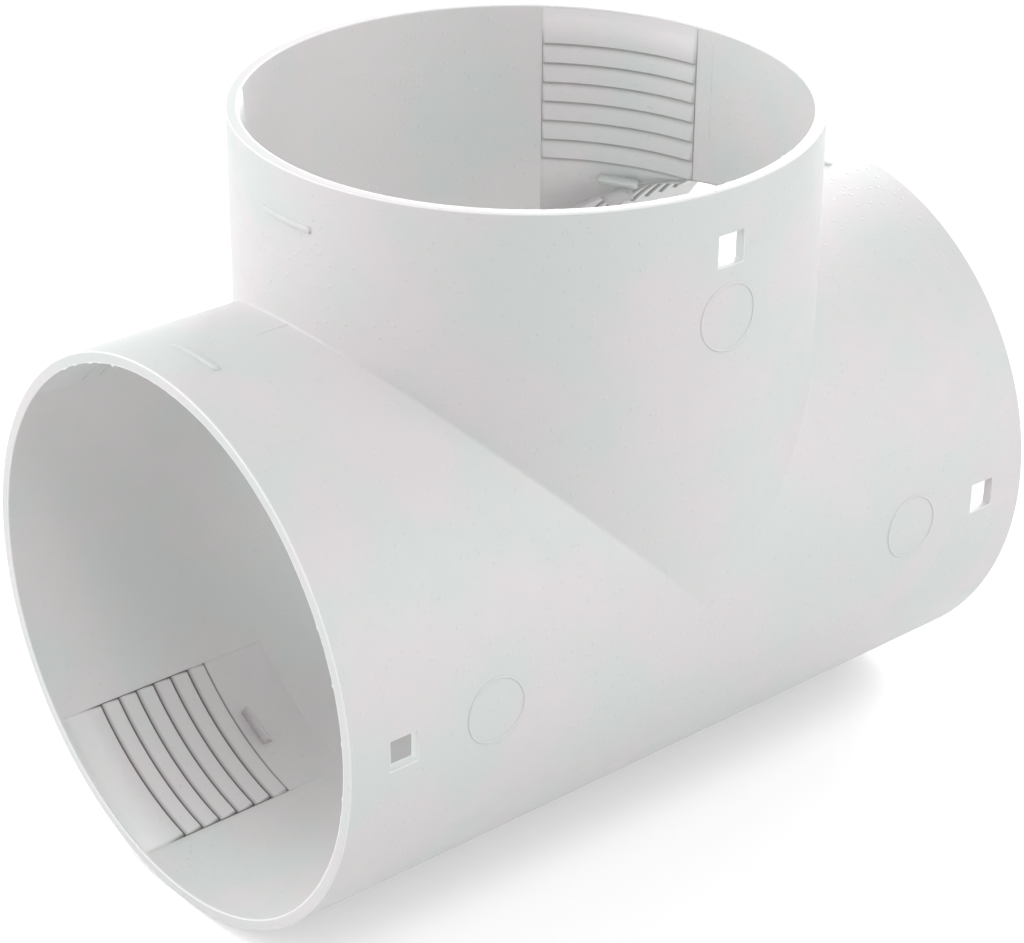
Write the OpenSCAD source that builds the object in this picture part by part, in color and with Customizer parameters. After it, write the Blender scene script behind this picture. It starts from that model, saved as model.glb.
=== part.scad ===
// Duct tee for blown warm air: one thin injection-moulded shell.
// A straight run and a branch of the same bore meet in two plane mitres.
// Each of the three mouths is a socket that flexible duct is pushed into.
// The origin is where the axes cross. X runs along the run, Z up the branch,
// and the windows face -Y.

/* [Tube] */
// Inside diameter of all three sockets, for duct of 72 mm outside diameter
bore_d = 72.5; // [66:0.5:74.5]
// Wall thickness of the shell
wall = 1.5; // [1:0.1:2]
// From the crossing of the axes to each mouth of the run
run_reach = 58; // [57:0.5:75]
// From the crossing of the axes to the mouth of the branch
branch_reach = 58; // [57:0.5:75]

/* [Locking ribs] */
// Saw teeth in each strip
rib_count = 7; // [3:1:7]
// How far a tooth stands into the bore at its crest
rib_h = 0.5; // [0.2:0.05:0.6]
// Thickness of the pad that the teeth rise from
pad_h = 0.08; // [0.05:0.01:0.15]
// From one crest to the next, along the duct
rib_pitch = 2.8; // [2:0.1:2.9]
// Depth of the first crest below each mouth of the run
run_first_crest = 6.2; // [4:0.1:6.4]
// Depth of the first crest below the mouth of the branch
branch_first_crest = 5.2; // [4:0.1:6.4]
// Plain wall between the mouth and the start of the first ramp
plain_lip = 0.8; // [0.5:0.1:2]
// Length of the steep side of a tooth, which bites when the duct is pulled
crest_drop = 0.15; // [0.05:0.05:0.4]
// Arc that one strip covers, in degrees
strip_arc = 36; // [12:1:40]
// Slope of a strip's two ends, in degrees from upright
strip_end_slope = 45; // [20:5:60]
// Angle between a run socket's back line and the middle of a strip
run_strip_offset = 60; // [40:1:65]
// Angle between the branch's back line and the middle of a strip
branch_strip_offset = 62; // [40:1:65]
// Gap between the inner mitres and any strip or stop that is cut short at them
mitre_gap = 0.2; // [0.1:0.05:0.5]

/* [Duct stops] */
// Gap from the last crest to the face that the duct's end meets
stop_gap = 1.9; // [1.5:0.1:3]
// How far a stop stands into the bore
stop_h = 1.9; // [1:0.1:2.5]
// Length of a stop along the duct
stop_l = 2.1; // [1.5:0.1:3]
// Lean of the stop's face, as length lost at its crest
stop_lean = 0.35; // [0.1:0.05:0.8]
// Arc that one stop covers, in degrees
stop_arc = 9; // [5:0.5:14]

/* [Windows] */
// Side of the square window in the front of each socket
window = 4.1; // [3:0.1:6]
// Depth of the window's middle below the mouth
window_depth = 8; // [5:0.5:11]

/* [Marks] */
// Diameter of the raised ring below each window
ring_d = 9; // [5:0.5:10]
// Width of the ring's line
ring_w = 0.35; // [0.2:0.05:0.6]
// Depth of the ring's middle below the mouth, at the ends of the run
run_ring_depth = 22; // [18:0.5:24]
// Depth of the ring's middle below the mouth, on the branch
branch_ring_depth = 16.8; // [15.5:0.1:24]
// How far the rings stand off the outside
ring_h = 0.12; // [0.05:0.01:0.3]
// Depth of the raised dash below each mouth
dash_depth = 6.5; // [4:0.1:9]
// Width of a dash, along the duct
dash_w = 0.8; // [0.4:0.1:1.5]
// How far a dash stands off the outside
dash_h = 0.25; // [0.1:0.05:0.4]
// Arc that a dash covers, in degrees
dash_arc = 14; // [6:1:20]

/* [Hidden] */
$fn = 96;
bore_r = bore_d / 2;
outer_r = bore_r + wall;
// Depth that a raised feature sinks into the wall it stands on
root = wall / 3;
// Overshoot of a cut past the face that it leaves through
over = 1;
// Extra arc that the sloping ends are cut from
strip_margin = 4;
// Length from a strip's first crest to its last
rib_run = (rib_count - 1) * rib_pitch;
wedge_r = max(run_reach, branch_reach) + over;

// Each socket is drawn standing up, with its mouth at the height "reach".
// Its back line is towards +Y and its front line towards -Y.

// A feature with the section points [radius, height], centred on one angle of the socket
module around_axis(points, middle, arc) {
    rotate([0, 0, middle - arc / 2])
        rotate_extrude(angle = arc)
            polygon(points);
}

// Section of a strip: a thin pad with a long first ramp on it, then short ones
function strip_section(reach, first_crest) = concat(
    [[bore_r + root, reach - plain_lip],
     [bore_r - pad_h, reach - plain_lip]],
    [for (i = [0:rib_count - 1], past = [0, 1])
        let (crest = reach - first_crest - i * rib_pitch)
        past == 0
            ? [bore_r - rib_h, crest]
            : [i < rib_count - 1 ? bore_r - pad_h : bore_r + root, crest - crest_drop]]
);

// The space between a strip's two sloping ends, seen along the socket and centred on +X.
// Each end passes through the wall's surface where the strip's arc stops.
module between_ends(height) {
    half = strip_arc / 2;
    lean = half + strip_end_slope;
    reach_in = 3 * rib_h;
    reach_out = 2 * root;
    foot = [bore_r * cos(half), bore_r * sin(half)];
    slope = [cos(lean), sin(lean)];
    inner = foot - reach_in * slope;
    outer = foot + reach_out * slope;
    linear_extrude(height = height)
        polygon([inner, outer, [bore_r + 2 * wall, 0], [outer.x, -outer.y], [inner.x, -inner.y]]);
}

// Section of a stop: a steep face towards the mouth, and a ramp on its far side
function stop_section(top) = [
    [bore_r + root, top],
    [bore_r - stop_h, top - stop_lean],
    [bore_r + root, top - stop_l]
];

// The two rib strips of a socket, each with its stop behind it
module grips(reach, first_crest, offset) {
    for (side = [-1, 1]) {
        middle = 90 + side * offset;
        intersection() {
            around_axis(strip_section(reach, first_crest), middle, strip_arc + strip_margin);
            rotate([0, 0, middle]) between_ends(reach);
        }
        around_axis(stop_section(reach - first_crest - rib_run - stop_gap), middle, stop_arc);
    }
}

// The short raised dash across the side of a socket
module dash(reach) {
    top = reach - dash_depth + dash_w / 2;
    bottom = top - dash_w;
    around_axis(
        [[outer_r - root, bottom], [outer_r + dash_h, bottom],
         [outer_r + dash_h, top], [outer_r - root, top]],
        180, dash_arc);
}

// The raised ring on the front of a socket, cut from a thin skin over the tube
module ring_mark(reach, depth) {
    middle = reach - depth;
    intersection() {
        translate([0, 0, middle - ring_d])
            difference() {
                cylinder(h = 2 * ring_d, r = outer_r + ring_h);
                translate([0, 0, -over])
                    cylinder(h = 2 * ring_d + 2 * over, r = outer_r - root);
            }
        translate([0, 0, middle])
            rotate([90, 0, 0])
                difference() {
                    cylinder(h = outer_r + over, d = ring_d);
                    translate([0, 0, -over])
                        cylinder(h = outer_r + 3 * over, d = ring_d - 2 * ring_w);
                }
    }
}

// The square window through the front wall of a socket
module window_cut(reach) {
    translate([-window / 2, -outer_r - over, reach - window_depth - window / 2])
        cube([window, wall + 2 * over, window]);
}

// Lays what is drawn for a standing socket along the run, once for each end
module both_ends() {
    for (side = [0, 1])
        mirror([side, 0, 0])
            rotate([0, 90, 0])
                children();
}

// Run and branch as round bars, joined: the outside or the inside of the shell
module crossed_bars(r, past = 0) {
    rotate([0, 90, 0])
        translate([0, 0, -run_reach - past])
            cylinder(h = 2 * (run_reach + past), r = r);
    cylinder(h = branch_reach + past, r = r);
}

// Everything above the two mitre planes, raised by "lift": the branch's side of the mould
module branch_side(lift) {
    rotate([90, 0, 0])
        translate([0, lift, -wedge_r])
            linear_extrude(height = 2 * wedge_r)
                polygon([[0, 0], [wedge_r, wedge_r], [-wedge_r, wedge_r]]);
}

module tee_body() {
    color("gainsboro")
    difference() {
        union() {
            difference() {
                union() {
                    crossed_bars(outer_r);
                    dash(branch_reach);
                    ring_mark(branch_reach, branch_ring_depth);
                    both_ends() {
                        dash(run_reach);
                        ring_mark(run_reach, run_ring_depth);
                    }
                }
                crossed_bars(bore_r, over);
            }
            intersection() {
                grips(branch_reach, branch_first_crest, branch_strip_offset);
                branch_side(mitre_gap);
            }
            difference() {
                both_ends() grips(run_reach, run_first_crest, run_strip_offset);
                branch_side(-mitre_gap);
            }
        }
        window_cut(branch_reach);
        both_ends() window_cut(run_reach);
    }
}

tee_body();
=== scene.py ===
# Duct tee for blown warm air, dressed for a studio picture.
# A run and a branch of one bore meet in two mitres, and each mouth is a socket for flexible duct.
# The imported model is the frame: X runs along the run, Z up the branch, and the windows face -Y.

import math

import bmesh
import bpy
from mathutils import Matrix, Vector, noise


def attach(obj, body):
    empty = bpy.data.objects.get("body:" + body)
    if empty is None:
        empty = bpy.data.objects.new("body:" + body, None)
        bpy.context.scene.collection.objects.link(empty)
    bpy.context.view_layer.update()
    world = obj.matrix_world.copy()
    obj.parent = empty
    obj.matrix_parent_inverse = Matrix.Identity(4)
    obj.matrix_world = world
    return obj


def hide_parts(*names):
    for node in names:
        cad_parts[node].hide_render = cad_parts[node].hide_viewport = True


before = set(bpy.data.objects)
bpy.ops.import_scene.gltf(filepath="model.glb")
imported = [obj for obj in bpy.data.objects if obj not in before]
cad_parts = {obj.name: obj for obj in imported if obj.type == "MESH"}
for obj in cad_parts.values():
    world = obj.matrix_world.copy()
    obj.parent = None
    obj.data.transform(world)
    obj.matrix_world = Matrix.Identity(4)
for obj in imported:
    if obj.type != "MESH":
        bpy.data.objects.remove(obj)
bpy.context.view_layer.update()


# Shell: the run and the branch, one wall of grey polypropylene, injection-moulded in a steel mould.
# Two cores pull out along the axes, so the bores are round and meet in sharp plane mitres.
# The rims are trimmed flat, and the three square windows are shut off against the cores.

BORE_R = 36.25
WALL = 1.5
OUTER_R = BORE_R + WALL
REACH = 58.0
RIM_ROUND = 0.22
STEPS_ROUND = 192
WINDOW = 4.1
WINDOW_DEPTH = 8.0
WINDOW_ROUND = 0.14
CREASE = 0.25
# How far below the rim the paler edges reach
EDGE_ZONE = 15.0

GREY_WARM = "#DBD7D8"
GREY_COOL = "#D4D8D6"
# Paler rounded edges: partly stress-whitened plastic, partly a painted highlight
EDGE_PALE_HIGHLIGHT = "#F4F4F4"
# Colour of the painted shade in the roots of the teeth, where the teeth hide the light
PAINTED_ROOT_SHADE = "#2E1618"
# The sizes of the plastic's patterns, and how high its grain and pips stand, in millimetres
TINT_PATCH = 14.0
GLOSS_PATCH = 3.0
GRAIN = 0.35
GRAIN_H = 0.03
PIP_SPACING = 1.3
PIP_H = 0.06


def linear(colour):
    """An sRGB hex colour as the linear values that a shader takes."""
    parts = [int(colour[i:i + 2], 16) / 255 for i in (1, 3, 5)]
    return [c / 12.92 if c <= 0.04045 else ((c + 0.055) / 1.055) ** 2.4 for c in parts] + [1.0]


def per_mm(size):
    """The scale of a texture on Object coordinates whose features are this many millimetres."""
    return 1000.0 / size


def add_node(tree, kind, settings=(), links=()):
    """Adds a node, sets its properties and socket values, and feeds its sockets."""
    node = tree.nodes.new(kind)
    for name, value in dict(settings).items():
        if isinstance(name, str) and hasattr(node, name):
            setattr(node, name, value)
        else:
            node.inputs[name].default_value = value
    for name, source in dict(links).items():
        tree.links.new(source, node.inputs[name])
    return node


def moulded_polypropylene():
    """Grey polypropylene from a spark-eroded mould: satin, finely grained, with a few pips.

    Its rounded edges are paler, partly as stress-whitened plastic and partly as a painted highlight, and the
    roots of the teeth are darker with painted shade.
    """
    material = bpy.data.materials.new("moulded_polypropylene_satin")
    material.use_nodes = True
    tree = material.node_tree
    surface = tree.nodes["Principled BSDF"]
    place = add_node(tree, "ShaderNodeTexCoord").outputs["Object"]
    clouds = add_node(
        tree, "ShaderNodeTexNoise",
        {"Scale": per_mm(TINT_PATCH), "Detail": 2.0, "Roughness": 0.5},
        {"Vector": place})
    tint = add_node(
        tree, "ShaderNodeMapRange",
        {"From Min": 0.42, "From Max": 0.58},
        {"Value": clouds.outputs["Fac"]})
    grey = add_node(
        tree, "ShaderNodeMix",
        {"data_type": "RGBA", 6: linear(GREY_WARM), 7: linear(GREY_COOL)},
        {"Factor": tint.outputs["Result"]})
    # The edge attribute pales the rounded edges, partly as stress-whitening and partly as a painted
    # highlight.
    edge = add_node(tree, "ShaderNodeAttribute", {"attribute_name": "edge"})
    paled = add_node(
        tree, "ShaderNodeMix",
        {"data_type": "RGBA", 7: linear(EDGE_PALE_HIGHLIGHT)},
        {"Factor": edge.outputs["Fac"], 6: grey.outputs[2]})
    # The root attribute paints shade into the roots of the teeth.
    root = add_node(tree, "ShaderNodeAttribute", {"attribute_name": "root"})
    darkened = add_node(
        tree, "ShaderNodeMix",
        {"data_type": "RGBA", 7: linear(PAINTED_ROOT_SHADE)},
        {"Factor": root.outputs["Fac"], 6: paled.outputs[2]})
    tree.links.new(darkened.outputs[2], surface.inputs["Base Color"])
    gloss = add_node(
        tree, "ShaderNodeTexNoise",
        {"Scale": per_mm(GLOSS_PATCH), "Detail": 3.0},
        {"Vector": place})
    rough = add_node(
        tree, "ShaderNodeMapRange",
        {"From Min": 0.3, "From Max": 0.7, "To Min": 0.44, "To Max": 0.56},
        {"Value": gloss.outputs["Fac"]})
    tree.links.new(rough.outputs["Result"], surface.inputs["Roughness"])
    surface.inputs["IOR"].default_value = 1.49
    # The eroded grain is about 0.05 mm across. It is drawn at 0.35 mm, so that it shows.
    grain = add_node(
        tree, "ShaderNodeTexNoise",
        {"Scale": per_mm(GRAIN), "Detail": 1.0},
        {"Vector": place})
    fine = add_node(
        tree, "ShaderNodeBump",
        {"Strength": 0.25, "Distance": GRAIN_H / 1000},
        {"Height": grain.outputs["Fac"]})
    pips = add_node(
        tree, "ShaderNodeTexVoronoi",
        {"Scale": per_mm(PIP_SPACING), "Randomness": 1.0},
        {"Vector": place})
    pip = add_node(
        tree, "ShaderNodeMapRange",
        {"interpolation_type": "SMOOTHSTEP", "From Min": 0.22, "From Max": 0.08},
        {"Value": pips.outputs["Distance"]})
    bumped = add_node(
        tree, "ShaderNodeBump",
        {"Strength": 0.6, "Distance": PIP_H / 1000},
        {"Height": pip.outputs["Result"], "Normal": fine.outputs["Normal"]})
    tree.links.new(bumped.outputs["Normal"], surface.inputs["Normal"])
    return material


def add_copy(whole, part, place):
    """Adds a part's mesh to the whole, moved to its place, with its faces still outwards."""
    mesh = bpy.data.meshes.new("part")
    part.to_mesh(mesh)
    mesh.transform(place)
    if place.is_negative:
        mesh.flip_normals()
    whole.from_mesh(mesh)
    bpy.data.meshes.remove(mesh)


def tube_wall():
    """The wall of a standing socket, from the crossing of the axes up to its rim, with an open foot."""
    low = REACH - WINDOW_DEPTH - WINDOW / 2
    high = REACH - WINDOW_DEPTH + WINDOW / 2
    # Rings of edges stand closer beside the window and below the rim.
    rises = [0, 8, 16, 24, 32, 40, low - 0.4, low, high, high + 0.4]
    rises += [REACH - 2.5, REACH - RIM_ROUND - 0.3]
    profile = [(OUTER_R, z) for z in rises]
    turns = [math.radians(a) for a in (0, 22.5, 45, 67.5, 90)]
    for turn in turns:
        profile.append((
            OUTER_R - RIM_ROUND * (1 - math.cos(turn)),
            REACH - RIM_ROUND * (1 - math.sin(turn))))
    profile += [(OUTER_R - RIM_ROUND - 0.1, REACH), (BORE_R + RIM_ROUND + 0.1, REACH)]
    for turn in reversed(turns):
        profile.append((
            BORE_R + RIM_ROUND * (1 - math.cos(turn)),
            REACH - RIM_ROUND * (1 - math.sin(turn))))
    profile += [(BORE_R, z) for z in reversed(rises)]
    wall = bmesh.new()
    line = [wall.verts.new((r, 0, z)) for r, z in profile]
    edges = [wall.edges.new(pair) for pair in zip(line, line[1:])]
    bmesh.ops.spin(
        wall, geom=line + edges, cent=(0, 0, 0), axis=(0, 0, 1),
        angle=math.tau, steps=STEPS_ROUND, use_merge=True)
    return wall


def cut_window(wall):
    """Cuts the square window through the front of a standing socket, and softens its edges."""
    half = WINDOW / 2
    middle = REACH - WINDOW_DEPTH
    for side in (-half, half):
        near = [f for f in wall.faces
                if f.calc_center_median().y < 0
                and abs(f.calc_center_median().x) < half + 2
                and abs(f.calc_center_median().z - middle) < half + 0.5]
        parts = dict.fromkeys(near)
        for face in near:
            parts.update(dict.fromkeys(face.edges))
            parts.update(dict.fromkeys(face.verts))
        bmesh.ops.bisect_plane(
            wall, geom=list(parts), dist=1e-5, plane_co=(side, 0, 0), plane_no=(1, 0, 0))
    pane = [f for f in wall.faces
            if f.calc_center_median().y < 0
            and abs(f.calc_center_median().x) < half
            and abs(f.calc_center_median().z - middle) < half]
    border = [e for e in wall.edges if len(set(pane).intersection(e.link_faces)) == 1]
    bmesh.ops.delete(wall, geom=pane, context="FACES")
    made = bmesh.ops.bridge_loops(wall, edges=border)
    corners = []
    for edge in dict.fromkeys(e for f in made["faces"] for e in f.edges):
        across = abs(edge.verts[0].co.y - edge.verts[1].co.y) > WALL / 2
        if across and abs(abs(edge.verts[0].co.x) - half) < 0.01:
            corners.append(edge)
    corners = [e for e in corners if all(abs(abs(v.co.z - middle) - half) < 0.01 for v in e.verts)]
    bmesh.ops.bevel(
        wall, geom=border + corners, offset=WINDOW_ROUND, offset_type="OFFSET", affect="EDGES",
        segments=2, profile=0.5, material=-1, clamp_overlap=True)


def mitre(wall, lean):
    """Cuts a standing wall along one mitre plane.

    A second line of edges beside the cut keeps the crease tight.
    """
    normal = Vector((lean, 0, 1)).normalized()
    whole = wall.verts[:] + wall.edges[:] + wall.faces[:]
    bmesh.ops.bisect_plane(
        wall, geom=whole, dist=1e-5, plane_co=(0, 0, 0), plane_no=normal, clear_inner=True)
    whole = wall.verts[:] + wall.edges[:] + wall.faces[:]
    bmesh.ops.bisect_plane(
        wall, geom=whole, dist=1e-5, plane_co=normal * CREASE, plane_no=normal)


def finish_piece(name, mesh_in_mm, material):
    """Makes the object of a piece from a mesh in millimetres, hangs it on the root body, and hides the CAD
    part it stands in for.
    """
    # Faces with many sides are split here, so that they come out alike in every run.
    many_sided = [f for f in mesh_in_mm.faces if len(f.verts) > 4]
    bmesh.ops.triangulate(mesh_in_mm, faces=many_sided, ngon_method="BEAUTY")
    bmesh.ops.scale(mesh_in_mm, vec=(0.001, 0.001, 0.001), verts=mesh_in_mm.verts)
    mesh = bpy.data.meshes.new(name)
    mesh_in_mm.to_mesh(mesh)
    mesh_in_mm.free()
    mesh.shade_smooth()
    mesh.materials.append(material)
    piece = bpy.data.objects.new(name, mesh)
    bpy.context.scene.collection.objects.link(piece)
    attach(piece, "root")
    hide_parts("tee_body")
    return piece


# Where each standing socket goes: the branch stays upright, and the run's two ends are laid over.
LAID_OVER = Matrix.Rotation(math.radians(90), 4, "Y")
SOCKETS = {
    "branch": Matrix.Identity(4),
    "run_right": LAID_OVER,
    "run_left": Matrix.Diagonal((-1, 1, 1, 1)) @ LAID_OVER,
}


def paleness(spot):
    """How much paler the plastic is at a spot of a standing socket, partly as stress-whitening and partly as
    a painted highlight.

    It is 1 on the rounded edges of the rim and the window, and 0 away from them.
    """
    out = math.hypot(spot.x, spot.y)
    nearest = min(
        math.hypot(out - OUTER_R, spot.z - REACH) / RIM_ROUND,
        math.hypot(out - BORE_R, spot.z - REACH) / RIM_ROUND)
    if spot.y < 0 and abs(spot.x) < WINDOW:
        across = abs(spot.x) - WINDOW / 2
        along = abs(spot.z - REACH + WINDOW_DEPTH) - WINDOW / 2
        aside = max(across, along)
        through = min(abs(out - OUTER_R), abs(out - BORE_R))
        nearest = min(nearest, math.hypot(aside, through) / WINDOW_ROUND)
    return max(0.0, min(1.0, (0.95 - nearest) / 0.45))


plastic = moulded_polypropylene()
shell = bmesh.new()
for socket, place in SOCKETS.items():
    wall = tube_wall()
    cut_window(wall)
    mitre(wall, 1)
    if socket == "branch":
        mitre(wall, -1)
    add_copy(shell, wall, place)
    wall.free()
bmesh.ops.remove_doubles(shell, verts=shell.verts, dist=0.002)
bmesh.ops.recalc_face_normals(shell, faces=shell.faces)
# Paler rim and window edges, partly a painted highlight
edge_value = shell.verts.layers.float.new("edge")
for vert in shell.verts:
    for place in SOCKETS.values():
        spot = place.inverted() @ vert.co
        if spot.z > REACH - EDGE_ZONE:
            vert[edge_value] = max(vert[edge_value], paleness(spot))
tee_shell = finish_piece("tee_shell", shell, plastic)


# Rib strips: two in each socket, moulded with the wall, seven saw teeth that let the duct in and
# hold it when it's pulled. Each strip is cut in a steel insert, whose edges leave a faint step
# in the wall from the rim inwards.

TEETH = 7
RIB_H = 0.5
PAD_H = 0.08
PITCH = 2.8
DROP = 0.15
PLAIN_LIP = 0.8
STRIP_ARC = 36.0
END_SLOPE = 45.0
FIRST_CREST = {"branch": 5.2, "run_right": 6.2, "run_left": 6.2}
STRIP_OFFSET = {"branch": 62.0, "run_right": 60.0, "run_left": 60.0}
SUNK = 0.5
MITRE_GAP = 0.2
CREST_ROUND = 0.05
INSERT_STEP = 0.05
INSERT_DEPTH = 33.0
# How far the strips are swept past their ends, which are then cut off on the slope
TEETH_SPARE = 8.0
BAND_SPARE = 6.0
# How dark the painted shade in the roots of the teeth is, and how it fades along the next ramp
ROOT_SHADE_AMOUNT = {"branch": 0.35, "run_right": 0.6, "run_left": 1.0}
ROOT_FADE = [(0.2, 0.8), (0.4, 0.3), (0.8, 0.0)]


def swept(section, arc, steps):
    """A solid swept round the standing axis, centred on +X, from (radius, height, painted shade) points."""
    solid = bmesh.new()
    # The root layer carries the painted shade for the roots of the teeth.
    root = solid.verts.layers.float.new("root")
    corners = []
    for r, z, *dark in section:
        corner = solid.verts.new((r, 0, z))
        corner[root] = dark[0] if dark else 0.0
        corners.append(corner)
    face = solid.faces.new(corners)
    turn = Matrix.Rotation(math.radians(-arc / 2), 4, "Z")
    bmesh.ops.transform(solid, matrix=turn, verts=solid.verts)
    bmesh.ops.spin(
        solid, geom=[face] + solid.edges[:] + solid.verts[:], cent=(0, 0, 0), axis=(0, 0, 1),
        angle=math.radians(arc), steps=steps)
    bmesh.ops.recalc_face_normals(solid, faces=solid.faces)
    return solid


def trim(solid, spot, normal):
    """Cuts away what lies beyond a plane, and closes the cut."""
    whole = solid.verts[:] + solid.edges[:] + solid.faces[:]
    bmesh.ops.bisect_plane(
        solid, geom=whole, dist=1e-5, plane_co=spot, plane_no=normal, clear_outer=True)
    open_edges = [e for e in solid.edges if e.is_boundary]
    if open_edges:
        bmesh.ops.holes_fill(solid, edges=open_edges, sides=0)


def slope_ends(solid, arc):
    """Slopes the ends of a swept solid that covers this arc of the bore, so that it leaves the mould."""
    half = math.radians(arc / 2)
    lean = half + math.radians(END_SLOPE)
    for side in (1, -1):
        spot = (BORE_R * math.cos(half), side * BORE_R * math.sin(half), 0)
        trim(solid, spot, (-math.sin(lean), side * math.cos(lean), 0))


def trim_at_mitre(solid, socket):
    """Stops a solid inside a socket just short of the mitre."""
    trim(solid, (0, 0, MITRE_GAP), (-1, 0, -1))
    if socket == "branch":
        trim(solid, (0, 0, MITRE_GAP), (1, 0, -1))


strips = bmesh.new()
for socket, place in SOCKETS.items():
    # How dark the painted shade in this socket's tooth roots is
    dark = ROOT_SHADE_AMOUNT[socket]
    section = [(BORE_R + SUNK, REACH - PLAIN_LIP), (BORE_R - PAD_H, REACH - PLAIN_LIP)]
    slope = (RIB_H - PAD_H) / (PITCH - DROP)
    for tooth in range(TEETH):
        crest = REACH - FIRST_CREST[socket] - tooth * PITCH
        section.append((BORE_R - RIB_H, crest))
        if tooth == TEETH - 1:
            section.append((BORE_R + SUNK, crest - DROP, dark))
            continue
        section.append((BORE_R - PAD_H, crest - DROP, dark))
        for past, share in ROOT_FADE:
            section.append((BORE_R - PAD_H - past * slope, crest - DROP - past, dark * share))
    last_crest = REACH - FIRST_CREST[socket] - (TEETH - 1) * PITCH
    insert = [
        (BORE_R + SUNK, REACH - RIM_ROUND - 0.1),
        (BORE_R - INSERT_STEP, REACH - RIM_ROUND - 0.1 - INSERT_STEP),
        (BORE_R - INSERT_STEP, last_crest + 0.2),
        # Painted shade on the wall just past the last crest
        (BORE_R - INSERT_STEP, last_crest - DROP, dark),
        (BORE_R - INSERT_STEP, last_crest - DROP - 0.25, dark * 0.5),
        (BORE_R - INSERT_STEP, last_crest - DROP - 0.45),
        (BORE_R - INSERT_STEP, REACH - INSERT_DEPTH),
        (BORE_R + SUNK, REACH - INSERT_DEPTH - SUNK)]
    for side in (-1, 1):
        middle = 90 + side * STRIP_OFFSET[socket]
        turn = Matrix.Rotation(math.radians(middle), 4, "Z")
        teeth = swept(section, STRIP_ARC + TEETH_SPARE, 36)
        slope_ends(teeth, STRIP_ARC)
        crests = [e for e in teeth.edges
                  if all(abs(math.hypot(v.co.x, v.co.y) - (BORE_R - RIB_H)) < 0.02 for v in e.verts)
                  and abs(e.verts[0].co.z - e.verts[1].co.z) < 0.01]
        bmesh.ops.bevel(
            teeth, geom=crests, offset=CREST_ROUND, offset_type="OFFSET", affect="EDGES",
            segments=2, profile=0.5, material=-1)
        band = swept(insert, STRIP_ARC + BAND_SPARE, 32)
        slope_ends(band, STRIP_ARC)
        for solid in (teeth, band):
            bmesh.ops.transform(solid, matrix=turn, verts=solid.verts)
            trim_at_mitre(solid, socket)
            bmesh.ops.recalc_face_normals(solid, faces=solid.faces)
            add_copy(strips, solid, place)
            solid.free()
rib_strips = finish_piece("rib_strips", strips, plastic)


# Duct stops: one short block behind each strip, in the middle of it, moulded with the wall.
# The duct's end butts against the steep face, and the back is a ramp.

STOP_GAP = 1.9
STOP_H = 1.9
STOP_L = 2.1
STOP_LEAN = 0.35
STOP_ARC = 9.0
STOP_ROUND = 0.12

stops = bmesh.new()
for socket, place in SOCKETS.items():
    top = REACH - FIRST_CREST[socket] - (TEETH - 1) * PITCH - STOP_GAP
    section = [(BORE_R + SUNK, top), (BORE_R - STOP_H, top - STOP_LEAN), (BORE_R + SUNK, top - STOP_L)]
    for side in (-1, 1):
        middle = 90 + side * STRIP_OFFSET[socket]
        stop = swept(section, STOP_ARC, 8)
        ends = [f for f in stop.faces if len(f.edges) == 3]
        proud = dict.fromkeys(e for f in ends for e in f.edges)
        proud = [e for e in proud if min(math.hypot(v.co.x, v.co.y) for v in e.verts) < BORE_R]
        crest = [e for e in stop.edges
                 if all(abs(math.hypot(v.co.x, v.co.y) - (BORE_R - STOP_H)) < 0.02 for v in e.verts)]
        bmesh.ops.bevel(
            stop, geom=list(dict.fromkeys(proud + crest)), offset=STOP_ROUND, offset_type="OFFSET",
            affect="EDGES", segments=2, profile=0.5, material=-1)
        turn = Matrix.Rotation(math.radians(middle), 4, "Z")
        bmesh.ops.transform(stop, matrix=turn, verts=stop.verts)
        trim_at_mitre(stop, socket)
        bmesh.ops.recalc_face_normals(stop, faces=stop.faces)
        add_copy(stops, stop, place)
        stop.free()
duct_stops = finish_piece("duct_stops", stops, plastic)


# Dashes: a short raised bar across the side of each socket, moulded with the wall.
# A mark of this kind lets the fittings of a line be turned alike.

DASH_DEPTH = 6.5
DASH_W = 0.8
DASH_H = 0.25
DASH_ARC = 14.0
DASH_ROUND = 0.15

dashes = bmesh.new()
for place in SOCKETS.values():
    top = REACH - DASH_DEPTH + DASH_W / 2
    section = [
        (OUTER_R - SUNK, top - DASH_W), (OUTER_R + DASH_H, top - DASH_W),
        (OUTER_R + DASH_H, top), (OUTER_R - SUNK, top)]
    dash = swept(section, DASH_ARC, 12)
    proud = [e for e in dash.edges
             if all(abs(math.hypot(v.co.x, v.co.y) - OUTER_R - DASH_H) < 0.02 for v in e.verts)
             and (abs(e.verts[0].co.z - e.verts[1].co.z) > 0.1 or len(e.link_faces) == 2
                  and abs(e.link_faces[0].normal.dot(e.link_faces[1].normal)) < 0.5)]
    bmesh.ops.bevel(
        dash, geom=proud, offset=DASH_ROUND, offset_type="OFFSET", affect="EDGES",
        segments=2, profile=0.5, material=-1)
    turn = Matrix.Rotation(math.radians(180), 4, "Z")
    bmesh.ops.transform(dash, matrix=turn, verts=dash.verts)
    add_copy(dashes, dash, place)
    dash.free()
side_dashes = finish_piece("side_dashes", dashes, plastic)


# Rings: a thin raised line round each date-stamp insert of the mould, below each window.
# It is what the insert's edge leaves on the front of the wall.

RING_D = 9.0
RING_W = 0.35
RING_H = 0.12
RING_SUNK = 0.3
RING_DEPTH = {"branch": 16.8, "run_right": 22.0, "run_left": 22.0}

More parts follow.
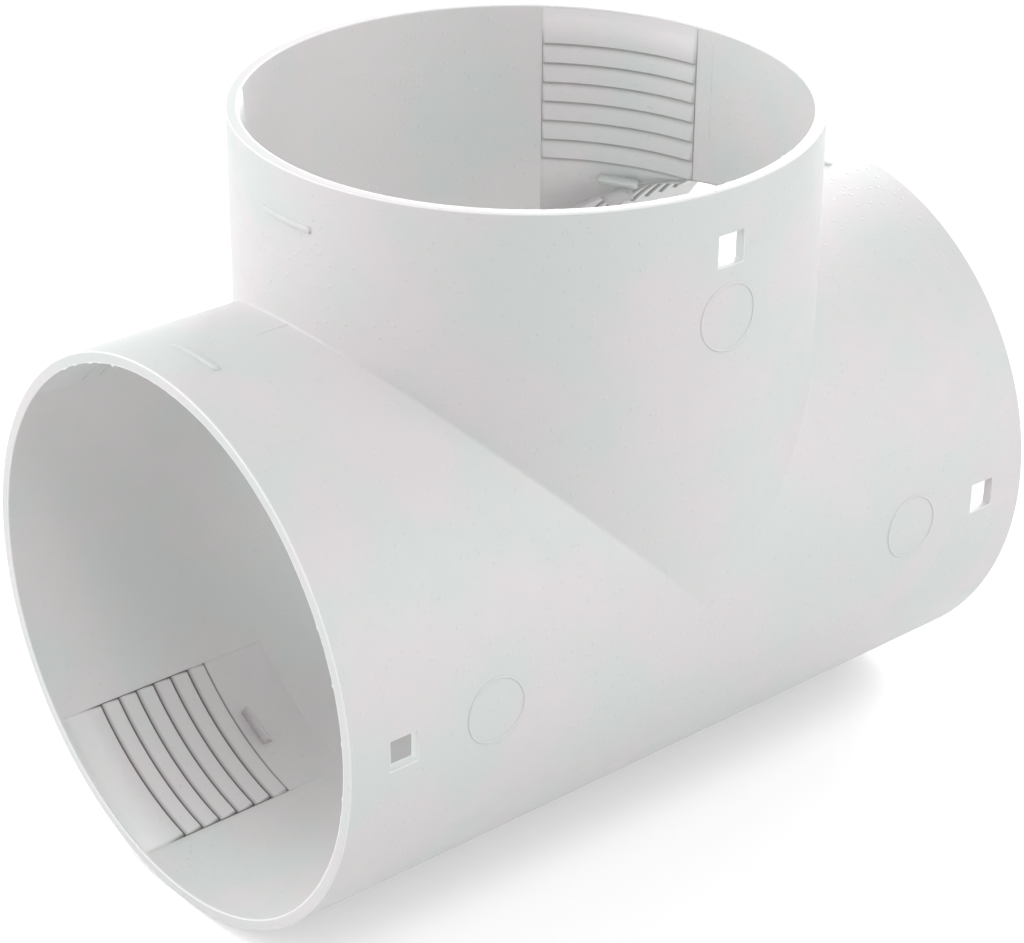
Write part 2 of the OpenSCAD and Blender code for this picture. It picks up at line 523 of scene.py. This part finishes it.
rings = bmesh.new()
for socket, place in SOCKETS.items():
    ring = bmesh.new()
    outside = RING_D / 2
    lip = [
        (outside, RING_SUNK), (outside, -RING_H * 0.5), (outside - RING_W * 0.25, -RING_H),
        (outside - RING_W * 0.75, -RING_H), (outside - RING_W, -RING_H * 0.5), (outside - RING_W, RING_SUNK)]
    corners = [ring.verts.new((x, y, 0)) for x, y in lip]
    loop = [ring.edges.new(pair) for pair in zip(corners, corners[1:] + corners[:1])]
    bmesh.ops.spin(
        ring, geom=corners + loop, cent=(0, 0, 0), axis=(0, 1, 0),
        angle=math.tau, steps=96, use_merge=True)
    for vert in ring.verts:
        vert.co.y -= math.sqrt(OUTER_R ** 2 - vert.co.x ** 2)
    bmesh.ops.translate(ring, vec=(0, 0, REACH - RING_DEPTH[socket]), verts=ring.verts)
    bmesh.ops.recalc_face_normals(ring, faces=ring.faces)
    add_copy(rings, ring, place)
    ring.free()
ring_marks = finish_piece("ring_marks", rings, plastic)


# Witness lines: hair-thin ridges where parts of the mould met. One runs along the run's top on each
# side of the branch, and two stand in the branch beside its strips.

LINE_W = 0.16
LINE_H = 0.06
TOP_LINE_END = 42.7
BRANCH_LINE_DEPTH = 15.5
BRANCH_LINE_ANGLES = (5.9, 174.1)


def along_wall(low, high, radius, outwards):
    """A ridge along a standing wall at +X, from one height to another."""
    ridge = bmesh.new()
    crest = radius + (LINE_H if outwards else -LINE_H)
    foot = radius - (SUNK if outwards else -SUNK)
    half = LINE_W / 2
    section = [(foot, -half), (radius, -half), (crest, 0), (radius, half), (foot, half)]
    corners = [ridge.verts.new((x, y, low)) for x, y in section]
    face = ridge.faces.new(corners)
    raised = bmesh.ops.extrude_face_region(ridge, geom=[face])["geom"]
    tops = [v for v in raised if isinstance(v, bmesh.types.BMVert)]
    bmesh.ops.translate(ridge, vec=(0, 0, high - low), verts=tops)
    # Each end tapers into the wall.
    for vert in ridge.verts:
        if abs(vert.co.x - crest) < 0.001:
            vert.co.x = radius
    bmesh.ops.subdivide_edges(
        ridge, edges=[e for e in ridge.edges if abs(e.verts[0].co.z - e.verts[1].co.z) > 0.1], cuts=6)
    for vert in ridge.verts:
        if low + 0.01 < vert.co.z < high - 0.01 and abs(vert.co.y) < 0.001:
            vert.co.x = crest
    bmesh.ops.recalc_face_normals(ridge, faces=ridge.faces)
    return ridge


lines = bmesh.new()
for socket, place in SOCKETS.items():
    if socket == "branch":
        for angle in BRANCH_LINE_ANGLES:
            ridge = along_wall(REACH - BRANCH_LINE_DEPTH, REACH - RIM_ROUND, BORE_R, False)
            turn = Matrix.Rotation(math.radians(angle), 4, "Z")
            bmesh.ops.transform(ridge, matrix=turn, verts=ridge.verts)
            add_copy(lines, ridge, place)
            ridge.free()
    else:
        ridge = along_wall(OUTER_R + 0.1, TOP_LINE_END, OUTER_R, True)
        bmesh.ops.transform(ridge, matrix=Matrix.Rotation(math.pi, 4, "Z"), verts=ridge.verts)
        add_copy(lines, ridge, place)
        ridge.free()
witness_lines = finish_piece("witness_lines", lines, plastic)


# Flash: a ragged hair of plastic along the inner edge of each rim, where the cores shut off.
# It is thin enough to look paler than the wall, and its paleness is partly a painted highlight; it stands up
# in a few small burrs.

FLASH_H = 0.07
FLASH_STEPS = 1440
# The hair's foot lies in the rounded inner edge of the rim.
FLASH_FOOT = 0.16
FLASH_DEPTH = 0.34
FLASH_SUNK = 0.02
FLASH_DROP = 0.03
# How pale the flash is, partly a painted highlight
FLASH_PALE = 0.7
# Burrs as (angle round the socket, width in degrees, height in millimetres)
BURRS = {
    "run_left": [
        (166.9, 0.5, 0.36), (148, 1.2, 0.2), (152.5, 0.8, 0.16), (158.6, 1.0, 0.18), (162, 0.6, 0.12),
        (242, 0.6, 0.2), (253, 0.5, 0.26), (264.6, 0.5, 0.2), (276.7, 0.8, 0.15), (281, 0.5, 0.12)],
    "branch": [
        (287.9, 0.7, 0.22), (270.3, 0.6, 0.16), (263.2, 1.0, 0.18), (255, 0.6, 0.12), (236, 0.5, 0.1)],
    "run_right": [(154, 0.8, 0.16), (161, 0.5, 0.2), (247, 0.6, 0.18), (20, 0.7, 0.14)],
}

flash = bmesh.new()
for number, (socket, place) in enumerate(SOCKETS.items()):
    hair = bmesh.new()
    section = [
        (BORE_R + FLASH_FOOT, REACH - FLASH_DROP),
        (BORE_R + FLASH_SUNK, REACH - FLASH_SUNK),
        (BORE_R + FLASH_SUNK, REACH - FLASH_DEPTH)]
    corners = [hair.verts.new((r, 0, z)) for r, z in section]
    loop = [hair.edges.new(pair) for pair in zip(corners, corners[1:] + corners[:1])]
    bmesh.ops.spin(
        hair, geom=corners + loop, cent=(0, 0, 0), axis=(0, 0, 1),
        angle=math.tau, steps=FLASH_STEPS, use_merge=True)
    pale = hair.verts.layers.float.new("edge")
    for vert in hair.verts:
        vert[pale] = FLASH_PALE
        if vert.co.z < REACH - (FLASH_SUNK + FLASH_DROP) / 2:
            continue
        turn = math.atan2(vert.co.y, vert.co.x)
        round_it = Vector((math.cos(turn), math.sin(turn), number))
        patches = noise.noise(round_it * 2.5 + Vector((7, 3, 11)))
        jags = 0.6 * noise.noise(round_it * 30) + 0.4 * noise.noise(round_it * 75)
        height = max(0.0, FLASH_H * (0.35 + patches) * (1 + 1.6 * jags))
        for angle, width, burr in BURRS[socket]:
            off = abs((math.degrees(turn) - angle + 180) % 360 - 180)
            height = max(height, burr * (1 - (off / width) ** 2))
        vert.co.x -= height * math.cos(turn)
        vert.co.y -= height * math.sin(turn)
        vert.co.z -= FLASH_DROP
    bmesh.ops.recalc_face_normals(hair, faces=hair.faces)
    add_copy(flash, hair, place)
    hair.free()
rim_flash = finish_piece("rim_flash", flash, plastic)


# Floor: a seamless sheet of white studio board, laid flat under the run.
# It is plain white to the camera and keeps the soft shadow where the run meets it.

FLOOR_Z = -OUTER_R / 1000
FLOOR_LIFT = 0.35


def seen_directly(tree):
    """1 for a ray from the camera, off a gloss or through something clear, and 0 for any other ray."""
    rays = add_node(tree, "ShaderNodeLightPath")
    seen = rays.outputs["Is Camera Ray"]
    for kind in ("Is Glossy Ray", "Is Transmission Ray"):
        either = add_node(
            tree, "ShaderNodeMath",
            {"operation": "MAXIMUM"},
            {0: seen, 1: rays.outputs[kind]})
        seen = either.outputs["Value"]
    return seen


def white_board():
    """Matt white studio board."""
    material = bpy.data.materials.new("matt_white_board")
    material.use_nodes = True
    tree = material.node_tree
    surface = tree.nodes["Principled BSDF"]
    surface.inputs["Base Color"].default_value = linear("#E6E6E6")
    surface.inputs["Roughness"].default_value = 0.9
    lift = add_node(
        tree, "ShaderNodeMath",
        {"operation": "MULTIPLY", 1: FLOOR_LIFT},
        {0: seen_directly(tree)})
    surface.inputs["Emission Color"].default_value = (1, 1, 1, 1)
    tree.links.new(lift.outputs["Value"], surface.inputs["Emission Strength"])
    return material


board = bmesh.new()
bmesh.ops.create_circle(board, cap_ends=True, segments=96, radius=3.0)
bmesh.ops.translate(board, vec=(0, 0, FLOOR_Z), verts=board.verts)
board_mesh = bpy.data.meshes.new("floor")
board.to_mesh(board_mesh)
board.free()
board_mesh.materials.append(white_board())
floor = bpy.data.objects.new("floor", board_mesh)
bpy.context.scene.collection.objects.link(floor)


# Lights: a white room with four softboxes: one high in front, one low to the right, and two
# behind the tee that brighten its outline.

ROOM_LEVEL = 0.55


def softbox(name, spot, size, power):
    """A square softbox at a spot, turned to the middle of the tee."""
    lamp = bpy.data.lights.new(name, "AREA")
    lamp.shape = "SQUARE"
    lamp.size = size
    lamp.energy = power
    holder = bpy.data.objects.new(name, lamp)
    holder.location = spot
    holder.rotation_euler = (-Vector(spot)).to_track_quat("-Z", "Y").to_euler()
    bpy.context.scene.collection.objects.link(holder)


softbox("softbox_back_left", (-0.7, 0.7, 0.4), 0.7, 5.9)
softbox("softbox_front_right", (0.6, -0.8, 0.3), 0.7, 2.6)
softbox("softbox_above", (-0.25, -0.45, 0.85), 0.3, 2.2)
softbox("softbox_back_right", (0.8, 0.5, 0.3), 0.6, 9.2)

world = bpy.data.worlds.new("white_room")
world.use_nodes = True
bpy.context.scene.world = world
room = world.node_tree
strength = add_node(
    room, "ShaderNodeMapRange",
    {"To Min": ROOM_LEVEL, "To Max": 1.0},
    {"Value": seen_directly(room)})
room.nodes["Background"].inputs["Color"].default_value = (1, 1, 1, 1)
room.links.new(strength.outputs["Result"], room.nodes["Background"].inputs["Strength"])


# Camera: a long lens from the front left, a little above, as in the photo.

AZIMUTH = math.radians(-40.426)
ELEVATION = math.radians(27.633)
ROLL = math.radians(0.486)
DISTANCE = 0.39505
TARGET = Vector((-0.001834, 0.0, 0.005588))
LENS = 103.874
SENSOR = 36.0

back = Vector((
    math.sin(AZIMUTH) * math.cos(ELEVATION),
    -math.cos(AZIMUTH) * math.cos(ELEVATION),
    math.sin(ELEVATION)))
right = Vector((math.cos(AZIMUTH), math.sin(AZIMUTH), 0))
up = back.cross(right)
rolled_right = right * math.cos(ROLL) + up * math.sin(ROLL)
rolled_up = up * math.cos(ROLL) - right * math.sin(ROLL)
lens = bpy.data.cameras.new("camera")
lens.sensor_fit = "HORIZONTAL"
lens.sensor_width = SENSOR
lens.lens = LENS
lens.clip_start = 0.01
lens.clip_end = 20.0
camera = bpy.data.objects.new("camera", lens)
turned = Matrix((rolled_right, rolled_up, back)).transposed().to_4x4()
camera.matrix_world = Matrix.Translation(TARGET + back * DISTANCE) @ turned
bpy.context.scene.collection.objects.link(camera)
bpy.context.scene.camera = camera

bpy.context.scene.view_settings.view_transform = "Standard"
